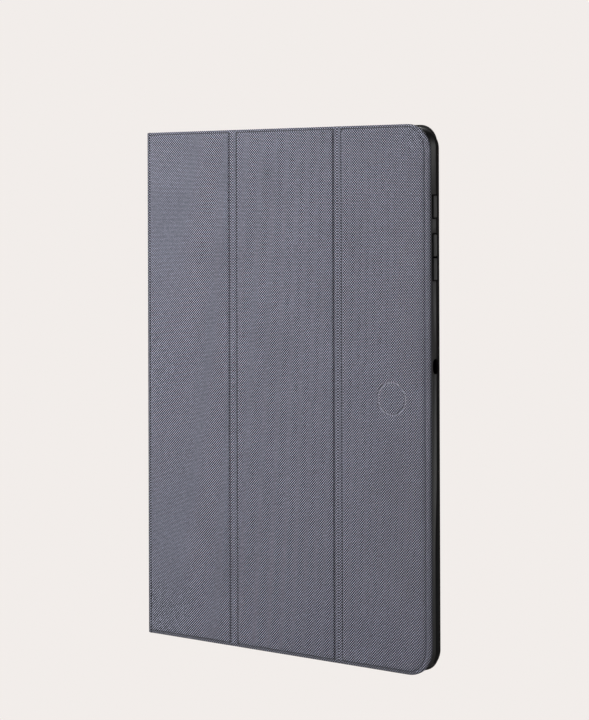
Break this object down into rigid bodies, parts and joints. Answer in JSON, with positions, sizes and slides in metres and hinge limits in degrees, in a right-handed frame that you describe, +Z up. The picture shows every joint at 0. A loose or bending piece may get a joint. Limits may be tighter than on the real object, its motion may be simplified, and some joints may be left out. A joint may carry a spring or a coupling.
{
  "type": "tablet folio case",
  "caption": "Upright folio case for a tablet, closed: woven front cover in stiff panels with creases, spine, and a soft moulded shell with button caps and port cut-outs.",
  "frame": {"origin": "middle of the closed case's box, at its lower edge", "axes": "+Z up along the case's height, front cover faces -Y, spine at -X, free edge of the cover at +X"},
  "size_m": [0.168, 0.0124, 0.2525],
  "materials": {
    "outer_skin": "two-tone plain weave of light and dark grey yarn, coated on the back",
    "inner_lining": "short napped microfibre",
    "shell": "satin moulded thermoplastic polyurethane",
    "board": "dense grey-brown board",
    "magnet": "nickel-plated magnet strip"
  },
  "bodies": {
    "shell": {"tpu_shell": "shell", "back_board": "board", "back_skin": "outer_skin"},
    "spine": {"spine_skin": "outer_skin", "spine_board": "board", "spine_lining": "inner_lining"},
    "inner_panel": {"inner_panel_skin": "outer_skin", "inner_panel_board": "board", "inner_panel_lining": "inner_lining", "stand_magnets": "magnet"},
    "inner_crease": {"inner_crease_skin": "outer_skin", "inner_crease_lining": "inner_lining"},
    "middle_panel": {"middle_panel_skin": "outer_skin", "middle_panel_board": "board", "middle_panel_lining": "inner_lining"},
    "outer_crease": {"outer_crease_skin": "outer_skin", "outer_crease_lining": "inner_lining"},
    "free_panel": {"free_panel_skin": "outer_skin", "free_panel_board": "board", "free_panel_lining": "inner_lining", "closing_magnets": "magnet", "wake_magnet": "magnet"},
    "power_button": {"power_button_cap": "shell"},
    "volume_up": {"volume_up_cap": "shell"},
    "volume_down": {"volume_down_cap": "shell"}
  },
  "joints": [
    {"name": "spine_fold", "type": "hinge", "parent": "shell", "child": "spine", "pos_m": [-0.084, 0.0062, 0.12625], "axis": [0, 0, -1], "range_deg": [0, 180]},
    {"name": "cover_fold", "type": "hinge", "parent": "spine", "child": "inner_panel", "pos_m": [-0.084, -0.0062, 0.12625], "axis": [0, 0, -1], "range_deg": [0, 180]},
    {"name": "inner_crease_roll", "type": "hinge", "parent": "inner_panel", "child": "inner_crease", "pos_m": [-0.0312, -0.0047, 0.12625], "axis": [0, 0, 1], "range_deg": [0, 125.5]},
    {"name": "inner_crease_lift", "type": "hinge", "parent": "inner_crease", "child": "middle_panel", "pos_m": [-0.0277, -0.0062, 0.12625], "axis": [0, 0, 1], "range_deg": [-120, 0]},
    {"name": "outer_crease_roll", "type": "hinge", "parent": "middle_panel", "child": "outer_crease", "pos_m": [0.0309, -0.0047, 0.12625], "axis": [0, 0, 1], "range_deg": [0, 125.5]},
    {"name": "outer_crease_lift", "type": "hinge", "parent": "outer_crease", "child": "free_panel", "pos_m": [0.0344, -0.0062, 0.12625], "axis": [0, 0, 1], "range_deg": [-175, 0]},
    {"name": "power_button_press", "type": "slide", "parent": "shell", "child": "power_button", "axis": [-1, 0, 0], "range_m": [0, 0.0004], "stiffness_N_per_m": 400},
    {"name": "volume_up_press", "type": "slide", "parent": "shell", "child": "volume_up", "axis": [-1, 0, 0], "range_m": [0, 0.0004], "stiffness_N_per_m": 400},
    {"name": "volume_down_press", "type": "slide", "parent": "shell", "child": "volume_down", "axis": [-1, 0, 0], "range_m": [0, 0.0004], "stiffness_N_per_m": 400}
  ],
  "couplings": [
    {"joint": "inner_crease_roll", "follows": "cover_fold", "ratio": 0.6944},
    {"joint": "outer_crease_roll", "follows": "cover_fold", "ratio": 0.6944}
  ]
}
